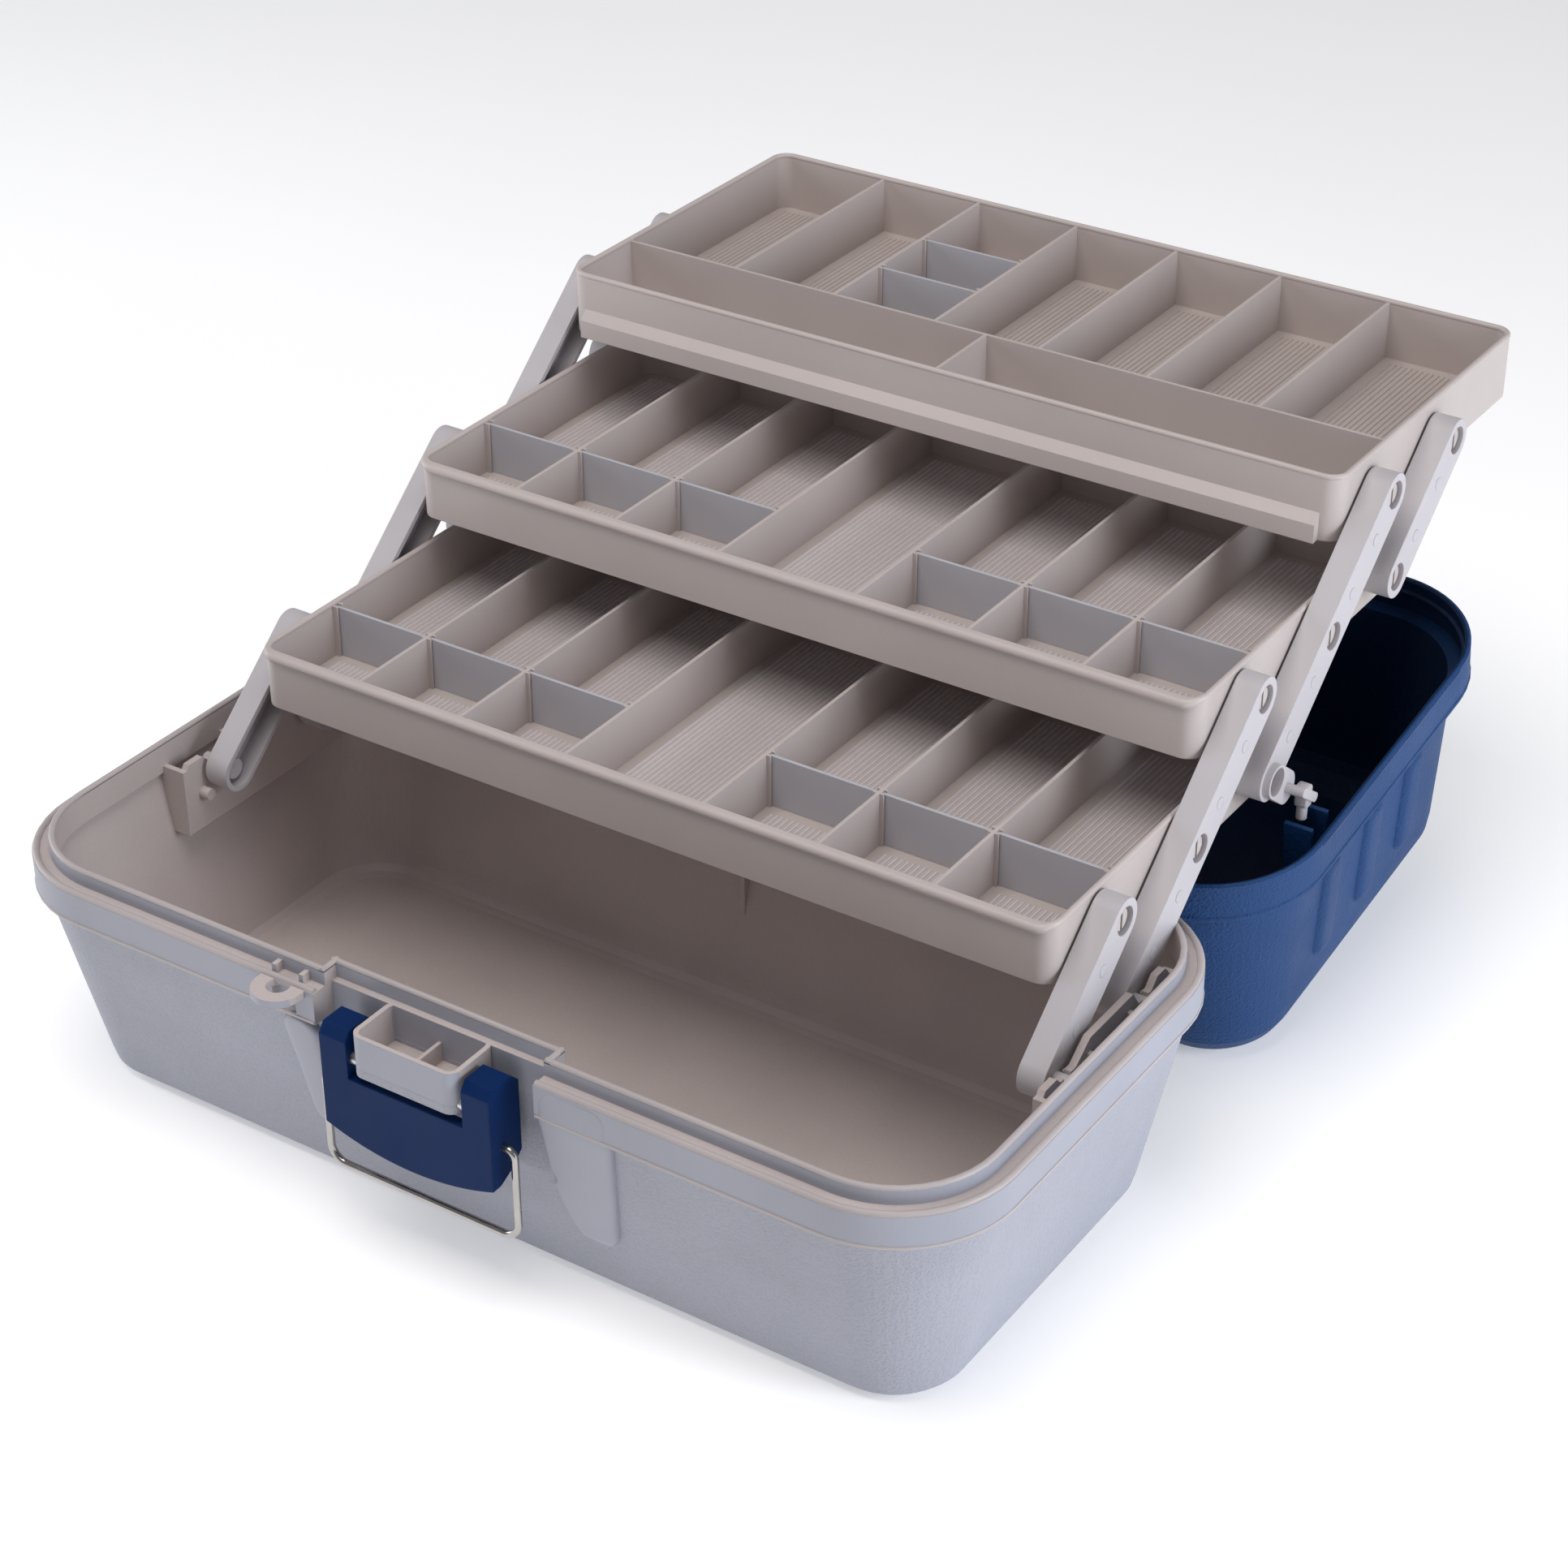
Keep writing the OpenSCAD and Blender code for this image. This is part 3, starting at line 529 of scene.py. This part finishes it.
def tray_rim(name, front, rim_z, bead, body):
    """Rounded edge all round a tray, swelling into a rolled bead along its front."""
    turn = [math.radians(a) for a in range(0, 360, 30)]
    rolled = 1 if bead > EDGE_R else 0
    loops = []
    for x, y, nx, ny in rounded_path(TRAY_W, TRAY_D, TRAY_R, 0, 12):
        w = max(0.0, -ny) ** 3
        r = EDGE_R + (bead - EDGE_R) * w
        c, h = -1.0 + 0.95 * w * rolled, -0.5 - 1.6 * w * rolled
        section = [(c + r * math.cos(a), h + r * math.sin(a)) for a in turn]
        loops.append([(x + nx * q, y + ny * q + front + TRAY_D / 2, rim_z + up) for q, up in section])
    border = Build()
    border.loops(loops, True)
    border.make(name, body, tray, 60)


tray_rim("tray_1_rim", *LOWER, BEAD_R, "lower_tray")
tray_rim("tray_2_rim", *MIDDLE, BEAD_R, "middle_tray")
tray_rim("tray_3_rim", *TOP, EDGE_R, "top_tray")


# ---- arms

ARM_OUT = TRAY_W / 2 + 12
FOOT_X, FOOT_Y, FOOT_Z = (201.2, 207), (182.4, 187.6), (116.5, 126.5)
ARMS = {"a": ((0, 0), (0, 1)), "b": ((1, 0), (1, 1), (1, 2)),
        "c": ((2, 1), (2, 2), (2, 3)), "d": ((3, 2), (3, 3))}


def disc(build, x, y, z, r, h, side):
    """Low round mark on an arm's web, with a softened edge."""
    turn = [math.radians(a) for a in range(0, 360, 20)]
    build.loops([[(side * (x + d), y + q * math.cos(a), z + q * math.sin(a)) for a in turn]
                 for q, d in ((r, -0.3), (r, h * 0.6), (r - 0.25, h), (r * 0.5, h))])


for letter, stops in ARMS.items():
    for side, word in ((-1, "left"), (1, "right")):
        marks = Build()
        points = [pivot(*at) for at in stops]
        for (y0, z0), (y1, z1) in zip(points, points[1:]):
            for t in (0.3, 0.68):
                disc(marks, ARM_OUT, y0 + (y1 - y0) * t, z0 + (z1 - z0) * t, 2.6, 0.22, side)
        marks.make(f"arm_{letter}_{word}_marks", f"arms_{letter}", arm)

for side, word in ((-1, "left"), (1, "right")):
    loops = []
    for x, inset in ((FOOT_X[0], 0.9), (FOOT_X[0] + 0.4, 0.2), (FOOT_X[0] + 0.8, 0),
                     (FOOT_X[1] - 0.8, 0), (FOOT_X[1] - 0.4, 0.2), (FOOT_X[1], 0.9)):
        outline = plate_outline(FOOT_Y[0] + inset, FOOT_Y[1] - inset,
                                FOOT_Z[0] + inset, FOOT_Z[1] - inset, 1.6 - inset)
        loops.append([(side * x, y, z) for y, z in outline])
    foot = Build()
    foot.loops(loops)
    foot.make(f"arm_c_{word}_foot", "arms_c", arm, 50)


# ---- lid, drawn shut and then swung open about its hinge

LID_W, LID_D, LID_R = FLANGE_W - 1, FLANGE_D - 1, FLANGE_R - 0.5
BAND_STEP, BAND_Z = 6.4, TUB_H + 16
TAPER = 7.4
HINGE_BACK = 6
HINGE = Vector((0, FLANGE_D / 2 + HINGE_BACK, TUB_H))
TILT = math.radians(8.5)
CROWN_R = 20
# the open lid's crown just reaches the table, which sets the lid's depth
CROWN_BACK = HINGE_BACK + 0.5 + BAND_STEP + TAPER + CROWN_R
LID_H = CROWN_R + (TUB_H + CROWN_BACK * math.sin(TILT) - CROWN_R - 0.05) / math.cos(TILT)
TURN = Matrix.Rotation(TILT - math.pi, 4, "X")
OPEN = Matrix.Translation(HINGE) @ TURN @ Matrix.Translation(-HINGE)


def lid_wall_x(z):
    """Half width of the lid's body at height z, lid shut."""
    return LID_W / 2 - BAND_STEP - TAPER * (z - BAND_Z) / (LID_H - CROWN_R - (BAND_Z - TUB_H))


BAR_W, BAR_Z = 17.0, (131.0, 185.0)
bars = Build()
for side in (-1, 1):
    for y in (-37.5, 0, 37.5):
        loops = []
        for inset, out in ((0, -0.8), (0.8, 0.4), (1.8, 1.4), (3.0, 2.1), (4.0, 2.45), (5.5, 2.6)):
            outline = plate_outline(y - BAR_W / 2 + inset, y + BAR_W / 2 - inset,
                                    BAR_Z[0] + inset, BAR_Z[1] - inset, 8 - inset)
            loops.append([(side * (lid_wall_x(z) + out), q, z) for q, z in outline])
        bars.loops(loops)
bars.moved(OPEN)
bars.make("lid_end_bars", "lid", blue, 50)

edge = Build()
mouth = rounded_path(LID_W, LID_D, LID_R)
ring(edge, mouth, [(-2.5, 0.9)] + arc(-1.25, 0.35, 1.25, 180, 360, 8) + [(0, 0.9)], TUB_H + 0.6, True)
ring(edge, mouth, [(-0.6, -1.2), (0.2, -0.9), (0.5, 0), (0.2, 0.9), (-0.6, 1.2)], BAND_Z + 0.6, True)
seat = rounded_path(LID_W - 5, LID_D - 5, LID_R - 2.5)
ring(edge, seat, [(0.4, -1), (-0.9, -0.6), (-1.3, 0), (-0.9, 0.6), (0.4, 1)], LIP_TOP, True)
edge.moved(OPEN)
edge.make("lid_edge_beads", "lid", blue, 50)


# ---- stage, lights and camera

def stage_floor():
    """Pale paper that the box stands on."""
    m = Nodes("floor_paper")
    grey = m.mix(m.steps(m.noise(3, 2.0), 0.3, 0.7), (0.95, 0.95, 0.95, 1), (0.97, 0.97, 0.97, 1))
    m.put(m.bsdf.inputs["Base Color"], grey)
    m.bsdf.inputs["Roughness"].default_value = 0.9
    m.bsdf.inputs["Specular IOR Level"].default_value = 0.2
    m.bsdf.inputs["Emission Color"].default_value = (1, 1, 1, 1)
    m.bsdf.inputs["Emission Strength"].default_value = 0.31
    mesh = bpy.data.meshes.new("floor")
    reach, below = 9, -0.0004
    corners = ((-reach, -reach), (reach, -reach), (reach, reach), (-reach, reach))
    mesh.from_pydata([(x, y, below) for x, y in corners], [], [(0, 1, 2, 3)])
    mesh.materials.append(m.mat)
    o = bpy.data.objects.new("floor", mesh)
    bpy.context.scene.collection.objects.link(o)


stage_floor()


def area_light(name, at, target, size, watts, colour):
    """Soft rectangular lamp at a point, aimed at another, in metres."""
    data = bpy.data.lights.new(name, "AREA")
    data.shape = "RECTANGLE"
    data.size, data.size_y = size
    data.energy = watts
    data.color = colour
    o = bpy.data.objects.new(name, data)
    o.location = at
    o.rotation_mode = "QUATERNION"
    o.rotation_quaternion = (Vector(target) - Vector(at)).to_track_quat("-Z", "Y")
    bpy.context.scene.collection.objects.link(o)


area_light("left_strip", (-1.7, -0.3, 0.35), (0, 0, 0.08), (0.7, 1.5), 17, (0.87, 0.92, 1.0))
area_light("right_strip", (1.7, 0.2, 0.3), (0, 0.1, 0.08), (0.6, 1.5), 27, (0.87, 0.92, 1.0))
area_light("overhead", (0.0, -0.35, 1.65), (0, 0.12, 0.1), (1.1, 1.1), 15, (1.0, 0.95, 0.92))

world = bpy.data.worlds.new("studio")
world.use_nodes = True
world.node_tree.nodes["Background"].inputs[0].default_value = (0.95, 0.96, 1.0, 1)
world.node_tree.nodes["Background"].inputs[1].default_value = 0.24
bpy.context.scene.world = world
bpy.context.scene.view_settings.view_transform = "Standard"
bpy.context.scene.view_settings.look = "None"


CAMERA_ANGLES = (33.676, 31.817, -0.242)
CAMERA_TARGET = Vector((43.5, 60, 136.8)) * MM
CAMERA_DISTANCE = 1.3294
SENSOR_W, FOCAL_PX, FRAME_PX = 36, 4256.6, 1932


def add_camera():
    """Camera given by azimuth, elevation and roll in degrees round a target."""
    az, el, roll = (math.radians(a) for a in CAMERA_ANGLES)
    back = Vector((math.sin(az) * math.cos(el), -math.cos(az) * math.cos(el), math.sin(el)))
    data = bpy.data.cameras.new("camera")
    data.sensor_width = SENSOR_W
    data.lens = SENSOR_W * FOCAL_PX / FRAME_PX
    data.clip_start, data.clip_end = 0.05, 40
    cam = bpy.data.objects.new("camera", data)
    forward = -back
    right = forward.cross(Vector((0, 0, 1))).normalized()
    up = right.cross(forward)
    r = right * math.cos(roll) + up * math.sin(roll)
    u = up * math.cos(roll) - right * math.sin(roll)
    rotation = Matrix((r, u, back)).transposed()
    place = CAMERA_TARGET + back * CAMERA_DISTANCE
    cam.matrix_world = Matrix.Translation(place) @ rotation.to_4x4()
    bpy.context.scene.collection.objects.link(cam)
    bpy.context.scene.camera = cam


add_camera()
